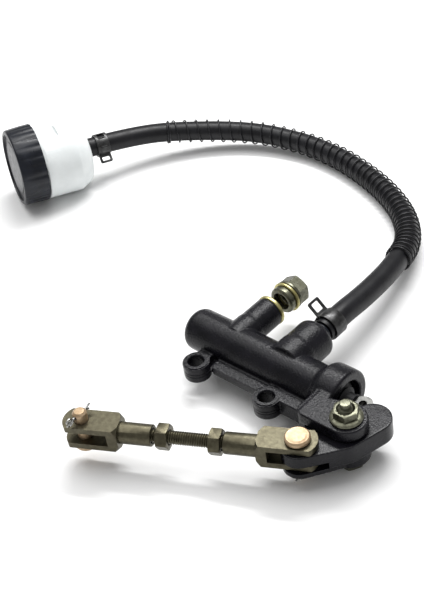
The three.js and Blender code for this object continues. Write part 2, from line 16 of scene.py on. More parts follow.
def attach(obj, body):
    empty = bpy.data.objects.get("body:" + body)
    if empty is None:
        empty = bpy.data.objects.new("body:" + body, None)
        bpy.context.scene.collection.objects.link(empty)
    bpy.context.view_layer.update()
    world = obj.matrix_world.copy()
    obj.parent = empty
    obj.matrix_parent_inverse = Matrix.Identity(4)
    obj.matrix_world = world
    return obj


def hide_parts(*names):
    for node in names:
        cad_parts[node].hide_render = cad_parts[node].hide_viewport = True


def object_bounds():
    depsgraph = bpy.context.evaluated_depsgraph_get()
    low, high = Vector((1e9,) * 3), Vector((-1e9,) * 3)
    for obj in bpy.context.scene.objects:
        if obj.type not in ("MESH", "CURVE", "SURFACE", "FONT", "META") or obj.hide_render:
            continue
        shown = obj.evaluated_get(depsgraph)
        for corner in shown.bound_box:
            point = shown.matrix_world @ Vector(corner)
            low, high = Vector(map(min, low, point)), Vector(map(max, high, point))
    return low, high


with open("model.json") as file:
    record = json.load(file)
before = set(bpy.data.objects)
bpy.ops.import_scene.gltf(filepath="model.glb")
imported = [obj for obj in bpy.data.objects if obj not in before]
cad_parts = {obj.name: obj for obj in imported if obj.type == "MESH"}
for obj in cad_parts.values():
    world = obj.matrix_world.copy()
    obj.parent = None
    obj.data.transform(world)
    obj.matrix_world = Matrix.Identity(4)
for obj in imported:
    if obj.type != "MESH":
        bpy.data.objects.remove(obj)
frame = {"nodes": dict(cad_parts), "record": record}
cad_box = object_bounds()

MM = 0.001
mounts = {mount["name"]: Vector(mount["pos_m"]) for mount in frame["record"]["mounts"]}
ORIGIN = mounts["mount_boss_first"] + Vector((4.8, 0, 0)) * MM
TO_ROW = Matrix.Translation(ORIGIN) @ Matrix.Scale(MM, 4)
FLOOR = cad_box[0][2]

# Driving dimensions, as in the CAD source.
MOUNT_SPACING = 40
BARREL_Y, BARREL_Z = 17, -0.3
BORE_R = 7
OUTLET_X, INLET_X, PORT_Z = 8.4, 36.7, 2.6
PIVOT = Vector((81.4, 1.5, 0))
EAR_R = 8.6
CRANK_TRAVEL = math.radians(25)
STROKE_PER_RADIAN = 12.8
EYE_X = 77.2
LINK_PIN = Vector((71.25, -16.8, 1.15))
LINK_ANGLE = math.radians(206.8)
PIN_SPACING = 91.1
RESERVOIR_AT = Vector((-182.1, 53, 8.1))
RESERVOIR_AXIS = Vector((0.418, 0.905, -0.076)).normalized()
RESERVOIR_END = 41.5
HOSE_END = RESERVOIR_END + 0.9
HOSE_R = 5.3


# ---------------------------------------------------------------- outlines and meshes


def rounded(points, steps=5, closed=True):
    """A 2D outline from (x, y) or (x, y, radius) points: a point with a radius becomes an arc."""
    out = []
    count = len(points)
    for i, point in enumerate(points):
        here = Vector(point[:2])
        radius = point[2] if len(point) > 2 else 0
        if not radius or (not closed and i in (0, count - 1)):
            out.append(here)
            continue
        before = (Vector(points[i - 1][:2]) - here).normalized()
        after = (Vector(points[(i + 1) % count][:2]) - here).normalized()
        half = before.angle(after) / 2
        back = radius / math.tan(half)
        centre = here + (before + after).normalized() * (radius / math.sin(half))
        start = here + before * back - centre
        finish = here + after * back - centre
        turn = start.angle_signed(finish)
        for k in range(steps + 1):
            out.append(centre + rotated(start, -turn * k / steps))
    return out


def rotated(v, angle):
    c, s = math.cos(angle), math.sin(angle)
    return Vector((v.x * c - v.y * s, v.x * s + v.y * c))


def arc(cx, cy, r, start, end, steps=24):
    angles = [math.radians(start + (end - start) * k / steps) for k in range(steps + 1)]
    return [Vector((cx + r * math.cos(a), cy + r * math.sin(a))) for a in angles]


def belt(a, ra, b, rb, steps=28):
    """Outline of a belt round two circles."""
    heading = math.degrees(math.atan2(b[1] - a[1], b[0] - a[0]))
    lean = math.degrees(math.acos((ra - rb) / math.hypot(b[0] - a[0], b[1] - a[1])))
    return arc(a[0], a[1], ra, heading + lean, heading + 360 - lean, steps) + arc(
        b[0], b[1], rb, heading - lean, heading + lean, steps
    )


def as_object(name, verts, faces):
    mesh = bpy.data.meshes.new(name)
    mesh.from_pydata([tuple(v) for v in verts], [], faces)
    work = bmesh.new()
    work.from_mesh(mesh)
    bmesh.ops.remove_doubles(work, verts=work.verts, dist=1e-5)
    bmesh.ops.recalc_face_normals(work, faces=work.faces)
    work.to_mesh(mesh)
    work.free()
    obj = bpy.data.objects.new(name, mesh)
    bpy.context.scene.collection.objects.link(obj)
    return obj


AXES = {
    "x": lambda along, c, s: (along, c, s),
    "y": lambda along, c, s: (s, along, c),
    "z": lambda along, c, s: (c, s, along),
}


def turned(axis, profile, at=(0, 0, 0), segments=72, steps=5):
    """A solid of revolution from (along, radius[, corner radius]) points; on the axis or closed on itself."""
    loop = len(profile[0]) > 1 and profile[0][:2] == profile[-1][:2]
    points = rounded(profile[:-1], steps) if loop else rounded(profile, steps, closed=False)
    if loop:
        points.append(points[0])
    verts, rings = [], []
    for p in points:
        if p.y < 1e-6:
            rings.append([len(verts)] * segments)
            verts.append(Vector(AXES[axis](p.x, 0, 0)) + Vector(at))
            continue
        rings.append(range(len(verts), len(verts) + segments))
        for k in range(segments):
            a = 2 * math.pi * k / segments
            spot = AXES[axis](p.x, p.y * math.cos(a), p.y * math.sin(a))
            verts.append(Vector(spot) + Vector(at))
    faces = []
    for near, far in zip(rings, rings[1:]):
        for k in range(segments):
            face = [near[k], near[(k + 1) % segments], far[(k + 1) % segments], far[k]]
            faces.append([v for i, v in enumerate(face) if v not in face[:i]])
    return as_object("turned", verts, [f for f in faces if len(f) > 2])


def prism(outline, low, high, matrix=None):
    """An outline in the XY plane, given thickness from low to high along Z."""
    n = len(outline)
    verts = [(p[0], p[1], low) for p in outline] + [(p[0], p[1], high) for p in outline]
    faces = [list(range(n)), list(range(n, 2 * n))]
    faces += [[k, (k + 1) % n, n + (k + 1) % n, n + k] for k in range(n)]
    obj = as_object("prism", verts, faces)
    if matrix:
        obj.data.transform(matrix)
    return obj


def brick(x0, x1, y0, y1, z0, z1):
    return prism([(x0, y0), (x1, y0), (x1, y1), (x0, y1)], z0, z1)


def sweep(points, radius, sides=10, closed=False):
    """A round wire or tube along points, with flat ends; radius is a number or a function of 0 to 1."""
    n = len(points)
    ahead = [points[(k + 1) % n] if closed or k < n - 1 else points[k] for k in range(n)]
    behind = [points[k - 1] if closed or k > 0 else points[k] for k in range(n)]
    tangents = [(a - b).normalized() for a, b in zip(ahead, behind)]
    side = tangents[0].orthogonal().normalized()
    verts = []
    for k, (point, tangent) in enumerate(zip(points, tangents)):
        side = (side - tangent * side.dot(tangent)).normalized()
        up = tangent.cross(side)
        r = radius(k / (n - 1)) if callable(radius) else radius
        for j in range(sides):
            a = 2 * math.pi * j / sides
            verts.append(point + (side * math.cos(a) + up * math.sin(a)) * r)
    faces = []
    for k in range(n if closed else n - 1):
        for j in range(sides):
            a, b = k * sides, (k + 1) % n * sides
            faces.append([a + j, a + (j + 1) % sides, b + (j + 1) % sides, b + j])
    if not closed:
        faces += [list(range(sides)), list(range((n - 1) * sides, n * sides))]
    return as_object("sweep", verts, faces)


# ---------------------------------------------------------------- modifiers, applied at once


def settle(obj):
    """Applies the object's modifiers."""
    bpy.context.view_layer.update()
    result = bpy.data.meshes.new_from_object(obj.evaluated_get(bpy.context.evaluated_depsgraph_get()))
    obj.modifiers.clear()
    old = obj.data
    obj.data = result
    bpy.data.meshes.remove(old)
    return obj


def modify(obj, kind, **settings):
    modifier = obj.modifiers.new(kind, kind)
    for key, value in settings.items():
        setattr(modifier, key, value)
    return settle(obj)


def join(*objects):
    """Puts meshes in one object without welding them."""
    base = objects[0]
    work = bmesh.new()
    for obj in objects:
        work.from_mesh(obj.data)
    work.to_mesh(base.data)
    work.free()
    for obj in objects[1:]:
        bpy.data.objects.remove(obj)
    return base


def boolean(base, operation, *tools):
    for tool in tools:
        modify(base, "BOOLEAN", object=tool, operation=operation, solver="EXACT")
        bpy.data.objects.remove(tool)
    return base


def cut(base, *tools):
    return boolean(base, "DIFFERENCE", *tools)


def unite(base, *tools):
    return boolean(base, "UNION", *tools)


def cast(obj, voxel, rounds, faces_share=0.5):
    """Melts overlapping solids into one casting with soft inner corners."""
    modify(obj, "REMESH", mode="VOXEL", voxel_size=voxel, use_smooth_shade=True)
    modify(obj, "SMOOTH", factor=0.6, iterations=rounds)
    return modify(obj, "DECIMATE", ratio=faces_share)


def bevelled(obj, width, segments=3, angle=30):
    return modify(
        obj, "BEVEL", width=width, segments=segments, limit_method="ANGLE", angle_limit=math.radians(angle)
    )


def put(obj, name, body, slot, material, *nodes, local=None, sharp=38):
    """Moves a finished mesh into the row frame, gives it its body and finish, and hides the CAD nodes it stands
    in for.
    """
    obj.data.transform(TO_ROW @ local if local else TO_ROW)
    obj.name = obj.data.name = name
    obj.data.materials.clear()
    obj.data.materials.append(material)
    obj.data.shade_smooth()
    obj.data.set_sharp_from_angle(angle=math.radians(sharp))
    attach(obj, body)
    if nodes:
        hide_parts(*nodes)
    return obj


# ---------------------------------------------------------------- materials


class Nodes:
    """A node tree with short calls; places are in millimetres on the object."""

    def __init__(self, name):
        self.material = bpy.data.materials.new(name)
        self.material.use_nodes = True
        self.tree = self.material.node_tree
        self.shader = self.tree.nodes["Principled BSDF"]
        self.place = self.tree.nodes.new("ShaderNodeTexCoord").outputs["Object"]

    def add(self, kind, **settings):
        node = self.tree.nodes.new(kind)
        for key, value in settings.items():
            setattr(node, key, value)
        return node

    def link(self, output, target):
        self.tree.links.new(output, target)

    def noise(self, size_mm, detail=3, rough=0.55):
        node = self.add("ShaderNodeTexNoise")
        node.inputs["Scale"].default_value = 1000 / size_mm
        node.inputs["Detail"].default_value = detail
        node.inputs["Roughness"].default_value = rough
        self.link(self.place, node.inputs["Vector"])
        return node.outputs["Fac"]

    def ranged(self, value, low, high, to_low, to_high):
        node = self.add("ShaderNodeMapRange")
        for key, number in zip(("From Min", "From Max", "To Min", "To Max"), (low, high, to_low, to_high)):
            node.inputs[key].default_value = number
        self.link(value, node.inputs["Value"])
        return node.outputs["Result"]

    def blend(self, amount, first, second):
        node = self.add("ShaderNodeMix", data_type="RGBA")
        for socket, colour in ((node.inputs[6], first), (node.inputs[7], second)):
            if isinstance(colour, tuple):
                socket.default_value = (*colour, 1)
            else:
                self.link(colour, socket)
        self.link(amount, node.inputs[0])
        return node.outputs[2]

    def bump(self, height, depth_mm, after=None):
        node = self.add("ShaderNodeBump")
        node.inputs["Strength"].default_value = 1
        node.inputs["Distance"].default_value = depth_mm * MM
        self.link(height, node.inputs["Height"])
        if after:
            self.link(after, node.inputs["Normal"])
        return node.outputs["Normal"]

    def set(self, socket, value):
        target = self.shader.inputs[socket]
        if hasattr(value, "links"):
            self.link(value, target)
        else:
            target.default_value = value


def surface(name, dark, light, rough, grain, patches=6, metal=0, wave=None, gloss=0.5):
    """A finish with colour patches, uneven gloss and a fine grain: grain is (size in mm, depth in mm)."""
    nodes = Nodes(name)
    patch = nodes.noise(patches, 4)
    nodes.set("Base Color", nodes.blend(nodes.ranged(patch, 0.35, 0.68, 0, 1), dark, light))
    nodes.set("Roughness", nodes.ranged(nodes.noise(patches * 0.4, 5), 0.3, 0.7, *rough))
    normal = nodes.bump(nodes.noise(grain[0], 4), grain[1])
    if wave:
        normal = nodes.bump(nodes.noise(wave[0], 2), wave[1], normal)
    nodes.set("Normal", normal)
    nodes.set("Metallic", metal)
    nodes.set("Specular IOR Level", gloss)
    return nodes.material


def cast_paint(name, grain, rough):
    """Satin black paint over a casting: pits and pimples catch the light as sparkle."""
    nodes = Nodes(name)
    patch = nodes.ranged(nodes.noise(9, 4), 0.35, 0.65, 0, 1)
    nodes.set("Base Color", nodes.blend(patch, (0.003, 0.003, 0.0045), (0.008, 0.0075, 0.0105)))
    nodes.set("Roughness", nodes.ranged(nodes.noise(2.2, 5), 0.3, 0.7, *rough))
    normal = nodes.bump(nodes.noise(0.8, 4, 0.6), grain)
    nodes.set("Normal", nodes.bump(nodes.noise(7, 2), 0.1, normal))
    nodes.set("Specular IOR Level", 0.2)
    return nodes.material


def milky_plastic():
    """Natural polyethylene: milky, a little greenish grey, with light going some way in."""
    nodes = Nodes("milky_plastic")
    cloud = nodes.ranged(nodes.noise(14, 3), 0.35, 0.65, 0, 1)
    nodes.set("Base Color", nodes.blend(cloud, (0.66, 0.69, 0.69), (0.74, 0.77, 0.77)))
    nodes.set("Roughness", nodes.ranged(nodes.noise(5, 4), 0.3, 0.7, 0.34, 0.48))
    nodes.set("Normal", nodes.bump(nodes.noise(1.5, 3), 0.01, nodes.bump(nodes.noise(10, 2), 0.1)))
    nodes.set("Subsurface Weight", 0.3)
    nodes.set("Subsurface Radius", (1.0, 1.0, 1.0))
    nodes.set("Subsurface Scale", 0.003)
    return nodes.material


CAST = cast_paint("cast_paint", 0.17, (0.16, 0.3))
CRANK_PAINT = cast_paint("crank_paint", 0.05, (0.18, 0.3))
GREEN_ZINC = surface("green_zinc", (0.07, 0.062, 0.04), (0.105, 0.096, 0.062), (0.3, 0.44), (0.5,
                     0.015), 2, 0.85)
BOLT_ZINC = surface("bolt_zinc", (0.09, 0.09, 0.062), (0.165, 0.165, 0.122), (0.24, 0.4), (0.5, 0.02),
                    2, 0.85)
PALE_ZINC = surface("pale_zinc", (0.36, 0.25, 0.145), (0.48, 0.36, 0.23), (0.32, 0.48),
                    (0.8, 0.02), 1.6, 0.6)
WASHER = surface("washer_metal", (0.36, 0.31, 0.11), (0.58, 0.54, 0.27), (0.25, 0.42), (0.6, 0.02), 3, 0.85)
BRIGHT = surface("bright_steel", (0.34, 0.34, 0.33), (0.52, 0.52, 0.5), (0.22, 0.38), (0.5, 0.01), 3, 1)
ROD_STEEL = surface("rod_steel", (0.06, 0.06, 0.057), (0.15, 0.15, 0.144), (0.25, 0.4), (0.5, 0.01), 3, 1)
BLACK_STEEL = surface("black_steel", (0.008, 0.008, 0.01), (0.02, 0.02, 0.022), (0.28, 0.44), (0.6,
                      0.02), 4, 0.2,
                      gloss=0.4)
CLAMP_STEEL = surface("clamp_steel", (0.03, 0.03, 0.03), (0.075, 0.075, 0.075), (0.25, 0.4), (0.5,
                      0.01), 3, 0.8)
HOSE_RUBBER = surface("hose_rubber", (0.004, 0.004, 0.005), (0.009, 0.009, 0.011), (0.32, 0.46), (0.7,
                      0.03), 12,
                      wave=(9, 0.1), gloss=0.25)
BOOT_RUBBER = surface("boot_rubber", (0.006, 0.006, 0.007), (0.013, 0.013, 0.015), (0.45, 0.65), (0.5,
                      0.03), 5,
                      gloss=0.3)
CAP_PLASTIC = surface("cap_plastic", (0.004, 0.005, 0.008), (0.009, 0.011, 0.017), (0.26, 0.4), (0.45,
                      0.015), 7,
                      gloss=0.28)
MILKY = milky_plastic()
ALUMINIUM = surface("turned_aluminium", (0.5, 0.5, 0.5), (0.72, 0.72, 0.71), (0.22, 0.36),
                    (0.3, 0.01), 3, 1)

# ---------------------------------------------------------------- camera


def add_camera():
    """The camera looks down across the fork end, leaning a little to one side."""
    azimuth, elevation, roll = math.radians(-48.61), math.radians(38.70), math.radians(-10.46)
    target = TO_ROW @ Vector((-21.7, 34.6, 0))
    distance = 0.5615
    ahead = Vector((math.sin(azimuth) * math.cos(elevation), math.cos(azimuth) * math.cos(elevation),
                    -math.sin(elevation)))
    right = Vector((math.cos(azimuth), -math.sin(azimuth), 0))
    up = right.cross(ahead)
    leaned_right = right * math.cos(roll) + up * math.sin(roll)
    leaned_up = up * math.cos(roll) - right * math.sin(roll)
    lens = bpy.data.cameras.new("camera")
    lens.sensor_width = 36
    lens.lens = 73.48
    lens.clip_start = 0.01
    camera = bpy.data.objects.new("camera", lens)
    turn = Matrix((leaned_right, leaned_up, -ahead)).transposed()
    camera.matrix_world = Matrix.Translation(target - ahead * distance) @ turn.to_4x4()
    bpy.context.scene.collection.objects.link(camera)
    bpy.context.scene.camera = camera


add_camera()

# ---------------------------------------------------------------- hose, its guard and its clamps


def on_reservoir(s):
    return RESERVOIR_AT + RESERVOIR_AXIS * s


HOSE_ROUTE = [
    (36.7, 43, 2.6), (36.6, 50, 2.6), (36.4, 58, 2.4), (35.9, 69, 1.1), (34.8, 81.7, -0.4),
    (33, 94.4, -1.9),
    (30.2, 106.8, -3.4), (26.2, 118.9, -5.5), (19.6, 129.9, -7.1), (11.1, 139.4, -8), (1, 147.4, -8.5),
    (-10.2, 153.9, -8.6), (-21.9, 159.2, -8.6), (-34.1, 163.4, -8.6), (-46.6, 166.7, -8.4),
    (-59.3, 168.5, -8.2),
    (-72.2, 168.9, -7.7), (-85, 167.4, -7.2), (-97.5, 164.4, -6.4), (-109.4, 159.5, -5.5),
    (-120.4, 152.9, -4.5),
    (-130.5, 144.9, -3.2), (-139.4, 135.9, -1.4), (-147.2, 125.8, 0.6), (-153.5, 114.9, 2.3),
]
HOSE_ROUTE = [Vector(p) for p in HOSE_ROUTE]
HOSE_ROUTE += [on_reservoir(HOSE_END + 14), on_reservoir(HOSE_END + 7), on_reservoir(HOSE_END)]


def smooth_line(points, per_span):
    """A centripetal Catmull-Rom line through the points."""
    ends = [points[0] * 2 - points[1], *points, points[-1] * 2 - points[-2]]
    line = []
    for p0, p1, p2, p3 in zip(ends, ends[1:], ends[2:], ends[3:]):
        t1 = (p1 - p0).length ** 0.5
        t2 = t1 + (p2 - p1).length ** 0.5
        t3 = t2 + (p3 - p2).length ** 0.5
        for k in range(per_span):
            t = t1 + (t2 - t1) * k / per_span
            a1 = p0 * ((t1 - t) / t1) + p1 * (t / t1)
            a2 = p1 * ((t2 - t) / (t2 - t1)) + p2 * ((t - t1) / (t2 - t1))
            a3 = p2 * ((t3 - t) / (t3 - t2)) + p3 * ((t - t2) / (t3 - t2))
            b1 = a1 * ((t2 - t) / t2) + a2 * (t / t2)
            b2 = a2 * ((t3 - t) / (t3 - t1)) + a3 * ((t - t1) / (t3 - t1))
            line.append(b1 * ((t2 - t) / (t2 - t1)) + b2 * ((t - t1) / (t2 - t1)))
    return [*line, points[-1].copy()]


class Line:
    """A line that is read by its length, with a frame that doesn't twist."""

    def __init__(self, points):
        self.points = points
        self.at = [0.0]
        for a, b in zip(points, points[1:]):
            self.at.append(self.at[-1] + (b - a).length)
        self.length = self.at[-1]
        self.sides = []
        side = Vector((0, 0, 1))
        for k in range(len(points)):
            tangent = self.tangent(k)
            side = (side - tangent * side.dot(tangent)).normalized()
            self.sides.append(side)

    def tangent(self, k):
        return (self.points[min(k + 1, len(self.points) - 1)] - self.points[max(k - 1, 0)]).normalized()

    def frame(self, s):
        """Point, tangent, up and across at the length s."""
        s = min(max(s, 0), self.length)
        k = min(next((i for i, at in enumerate(self.at) if at >= s), 1), len(self.points) - 1)
        k = max(k, 1)
        t = (s - self.at[k - 1]) / (self.at[k] - self.at[k - 1])
        point = self.points[k - 1].lerp(self.points[k], t)
        tangent = self.tangent(k - 1).lerp(self.tangent(k), t).normalized()
        up = self.sides[k - 1].lerp(self.sides[k], t).normalized()
        return point, tangent, up, tangent.cross(up)


HOSE_LINE = Line(smooth_line(HOSE_ROUTE, 8))


def hose_tube():
    """The hose is pinched under its clamps and narrows a little at each end."""
    length = HOSE_LINE.length

    def radius(t):
        s = min(t, 1 - t) * length
        return HOSE_R - 0.12 * math.exp(-(((s - 5.6) / 4) ** 2)) - 0.18 * math.exp(-((s / 1.2) ** 2))

    return sweep(HOSE_LINE.points, radius, 40)


hose = put(hose_tube(), "rubber_hose", "cylinder", "black_rubber", HOSE_RUBBER, "hose")

GUARD_FROM, GUARD_TO = 0.2 * HOSE_LINE.length, 0.86 * HOSE_LINE.length
GUARD_WIRE_R = 0.42


def guard_coil():
    """Wire wound round the hose: its turns close up towards the cylinder, and both ends are doubled."""
    wire = []
    s, angle = GUARD_FROM + GUARD_WIRE_R, 0.6
    radius = 6.5 - GUARD_WIRE_R
    step = 2 * math.pi / 20
    last = GUARD_TO - GUARD_WIRE_R
    while s < last:
        point, _, up, across = HOSE_LINE.frame(s)
        wire.append(point + (up * math.cos(angle) + across * math.sin(angle)) * radius)
        share = (s - GUARD_FROM) / (GUARD_TO - GUARD_FROM)
        pitch = 3.2 + 3.0 * min(1, share * 1.35)
        if min(s - GUARD_FROM, GUARD_TO - s) < 1.9:
            pitch = 0.95
        s += pitch * step / (2 * math.pi)
        angle += step
    return sweep(wire, GUARD_WIRE_R, 7)


guard = put(guard_coil(), "guard_coil", "cylinder", "black_steel", BLACK_STEEL, "spring_guard", sharp=60)


def band_clamp(turn, reach):
    """A spring band round the Y axis, with a window tab standing out and a tongue through a slot."""
    inner, thick, half = 5.62, 0.62, 3.5
    outer = inner + thick
    band = turned("y", [(-half, inner, 0.1), (-half, outer, 0.15), (half, outer, 0.15), (half, inner, 0.1),
                        (-half, inner, 0.1)], segments=96, steps=2)
    slot = brick(-1.0, 4.2, -1.9, 1.9, -1, 1)
    slot.data.transform(Matrix.Rotation(math.radians(-40), 4, "Y") @ Matrix.Translation((0, 0, outer)))
    cut(band, slot)
    tab_shape = rounded([(outer - 0.4, -3.4, 0.2), (reach, -3.4, 0.9), (reach, 3.4, 0.9),
                         (outer - 0.4, 3.4, 0.2)], 3)
    window = rounded([(7.4, -2.1, 0.5), (reach - 1.2, -2.1, 0.5), (reach - 1.2, 2.1, 0.5),
                      (7.4, 2.1, 0.5)], 3)
    tab = cut(prism(tab_shape, -0.36, 0.36), prism(window, -2, 2))
    tongue_shape = rounded([(outer - 0.4, -1.7, 0.1), (outer + 3, -1.7, 0.7), (outer + 3, 1.7, 0.7),
                            (outer - 0.4, 1.7, 0.1)], 3)
    tongue = prism(tongue_shape, -0.34, 0.34)
    tongue.data.transform(Matrix.Rotation(math.radians(-58), 4, "Y"))
    unite(band, tab, tongue)
    band.data.transform(Matrix.Rotation(math.radians(turn), 4, "Y"))
    return bevelled(band, 0.12, 2, 40)


reservoir_turn = Vector((0, 1, 0)).rotation_difference(RESERVOIR_AXIS).to_matrix().to_4x4()
RESERVOIR = Matrix.Translation(RESERVOIR_AT) @ reservoir_turn
CYLINDER_CLAMP = Matrix.Translation((36.6, 48.6, 2.6))
clamps = [
    put(band_clamp(-137, 13), "clamp_at_cylinder", "cylinder", "black_steel", CLAMP_STEEL,
        "hose_clamp_cylinder",
        local=CYLINDER_CLAMP),
    put(band_clamp(40, 10.8), "clamp_at_reservoir", "cylinder", "black_steel", CLAMP_STEEL,
        "hose_clamp_reservoir",
        local=RESERVOIR @ Matrix.Translation((0, HOSE_END + 7.6, 0))),
]

# ---------------------------------------------------------------- cylinder casting

MOUNTS_X = (0, MOUNT_SPACING)
BARREL_AT = (0, BARREL_Y, BARREL_Z)
OUTLET_AT = (OUTLET_X, 0, PORT_Z)
INLET_AT = (INLET_X, 0, PORT_Z)
EAR_FRONT = PIVOT.y - EAR_R


def ear_outline():
    tip = arc(PIVOT.x, PIVOT.y, EAR_R, -90, 102, 26)
    corner = arc(63.2 + 1.6, EAR_FRONT + 1.6, 1.6, 180, 270, 5)
    return [Vector((63.2, 13)), *corner, *tip, Vector((68.8, 6.7)), Vector((67.4, 14))]


def boss(x):
    return turned("z", [(-8.2, 0), (-8.2, 6.1, 0.8), (0, 6.1, 0.7), (0, 0)], (x, 0, 0), 48, 3)


def root(front, low, high):
    """The fork's root: the wall that ties both ears to the barrel."""
    return prism([(61.2, front + 2), (63.2, front), (66.6, front), (66.6, 13), (61.2, 13)], low, high)


def rough_casting():
    barrel = turned("x", [(-16, 0), (-16, 9.7, 4.2), (56, 9.7, 1.5), (59.6, 13, 2.2), (69.4, 13, 1.3),
                          (69.4, 0)],
                    BARREL_AT)
    outlet = turned("y", [(17, 0), (17, 7.4), (26.6, 7.4, 2), (28.4, 7.1, 2), (40.5, 7.1, 0.4), (40.5, 0)],
                    OUTLET_AT)
    inlet = turned("y", [(17, 0), (17, 9.5), (25.6, 9.5, 2), (27.4, 9.2, 2), (40, 9.2, 3.4),
                         (40, 0)], INLET_AT)
    solids = [barrel, outlet, inlet, root(EAR_FRONT + 0.5, -1.2, 9.2), root(2, -10.2, -1)]
    solids += [prism(ear_outline(), low, low + 5.3) for low in (4.2, -10.6)]
    solids += [boss(x) for x in MOUNTS_X]
    solids += [brick(x - 3.6, x + 3.6, 0, 12, -7.2, -0.3) for x in MOUNTS_X]
    solids += [
        brick(1, 8, 2, 13, -5.2, -3.4),
        prism([(6.8, 3), (8.2, 1.3), (38, 1.3), (38, 13), (6.8, 13)], -5.2, -1.2),
        prism([(42, 1), (55, 1), (62, -2), (66, -2), (66, 13), (42, 13)], -8.2, -0.5),
    ]
    return join(*solids)


def casting():
    body = cast(rough_casting(), 0.33, 5)
    cutters = [
        turned("x", [(-9, 0), (-9, BORE_R), (61, BORE_R), (61, 8.6), (68.9, 8.6, 0.3), (70, 9.8),
                     (70, 0)], BARREL_AT),
        turned("x", [(58.7, 5), (58.7, 7.9), (60.1, 7.9), (60.1, 5), (58.7, 5)], BARREL_AT),
        turned("y", [(17, 0), (17, 1.5), (26, 1.5), (28, 5.1), (39.7, 5.1), (41.2, 6.6),
                     (41.2, 0)], OUTLET_AT),
        turned("y", [(17, 0), (17, 1.5), (31, 1.5), (31, 5.2), (42, 5.2), (42, 0)], INLET_AT),
        turned("z", [(-15, 0), (-15, 3.4), (15, 3.4), (15, 0)], PIVOT),
        brick(-2, 20, 40.2, 44, -8, 14),
    ]
    for x in MOUNTS_X:
        at = (x, 0, 0)
        cutters += [
            turned("z", [(-9.2, 0), (-9.2, 4.9), (-7.8, 3.5), (-0.4, 3.5), (1, 4.9), (1, 0)], at, 48),
            turned("z", [(-0.45, 5.35), (-0.45, 7), (1, 7), (1, 5.35), (-0.45, 5.35)], at, 64),
            *(turned("z", [(z, 5.85), (z - 0.15, 7), (z + 0.45, 7), (z + 0.3, 5.85), (z, 5.85)], at, 64)
              for z in (-3.6, -5)),
        ]
    return cut(body, *cutters)


put(casting(), "casting", "cylinder", "cylinder_paint", CAST, "cylinder_body")

# ---------------------------------------------------------------- bell crank on its pivot


def crank():
    pin = (LINK_PIN.x, LINK_PIN.y)
    waist = (PIVOT.x - 0.8, PIVOT.y - 3)
    rough = join(
        prism(belt(waist, 9.8, (86.1, 11.4), 8), -5, 3.9),
        prism(belt(waist, 9.8, pin, 7.5), -5, 3.9),
        prism(belt((PIVOT.x - 1.4, PIVOT.y - 5), 8, pin, 7.5), -7.8, -4.5),
    )
    body = cast(rough, 0.3, 9)
    cutters = [
        brick(50, 110, EAR_FRONT - 0.6, 30, -9, -5),
        turned("z", [(-5.2, 0), (-5.2, 12.5), (-1.55, 12.5), (-1.55, 0)], (*pin, 0)),
        turned("z", [(-9, 0), (-9, 3.3), (6, 3.3), (6, 0)], (*pin, 0)),
        turned("z", [(-7, 0), (-7, 5.1), (6, 5.1), (6, 0)], PIVOT),
    ]
    for k in range(9):
        turn = CRANK_TRAVEL * k / 8
        eye = Vector((EYE_X - STROKE_PER_RADIAN * turn, BARREL_Y)) - PIVOT.xy
        eye = rotated(eye, -turn) + PIVOT.xy
        low, high = BARREL_Z - 2.8, BARREL_Z + 2.8
        cutters.append(turned("z", [(low, 0), (low, 4.6), (high, 4.6), (high, 0)], (*eye, 0), 48))
    return cut(body, *cutters)


put(crank(), "crank_casting", "crank", "crank_paint", CRANK_PAINT, "bell_crank")


def hexagon(axis, flats, low, high, bevel, at=(0, 0, 0), both=True):
    """A hexagon with its corners turned off at the high end, and at the low end too if both."""
    r = flats / math.sqrt(3)
    bar = turned(axis, [(low, 0), (low, r), (high, r), (high, 0)], at, 6)
    start = r - bevel if both else r + 0.5
    shell = turned(axis, [(low, 0), (low, start), (low + bevel * 0.6, r + 0.5),
                          (high - bevel * 0.6, r + 0.5),
                          (high, r - bevel), (high, 0)], at, 72)
    return boolean(bar, "INTERSECT", shell)


def threaded_rod(axis, r, low, high, pitch, at=(0, 0, 0), bevel=0.6):
    """A rod whose surface is a helical thread, cut to length with chamfered ends."""
    sides = 40
    steps = 6
    rows = int((high - low) / pitch * steps) + 1
    verts, faces = [], []
    depth = 0.5 * pitch
    for k in range(rows + 1):
        for j in range(sides):
            a = 2 * math.pi * j / sides
            along = low + (high - low) * k / rows
            phase = ((along - low) / pitch + j / sides) % 1
            height = 1 - abs(phase * 2 - 1)
            radius = r - depth * (1 - min(1, max(0, height * 1.35 - 0.1)))
            radius = min(radius, r - bevel + (along - low), r - bevel + (high - along))
            spot = AXES[axis](along, radius * math.cos(a), radius * math.sin(a))
            verts.append(Vector(spot) + Vector(at))
    for k in range(rows):
        for j in range(sides):
            a, b = k * sides, (k + 1) * sides
            faces.append([a + j, a + (j + 1) % sides, b + (j + 1) % sides, b + j])
    faces += [list(range(sides)), list(range(rows * sides, (rows + 1) * sides))]
    return as_object("threaded", verts, faces)


def pivot_nut():
    seat = 9.8
    flange = turned("z", [(seat, 0), (seat, 6.9, 0.2), (seat + 0.9, 6.7, 0.3), (seat + 1.6, 5.4),
                          (seat + 1.6, 0)], PIVOT)
    body = hexagon("z", 9.6, seat + 0.3, seat + 4.85, 0.9, PIVOT, both=False)
    hole = turned("z", [(9, 0), (9, 3.05), (13.8, 3.05), (15, 4.1), (15, 0)], PIVOT, 48)
    return bevelled(cut(unite(flange, body), hole), 0.18, 2)


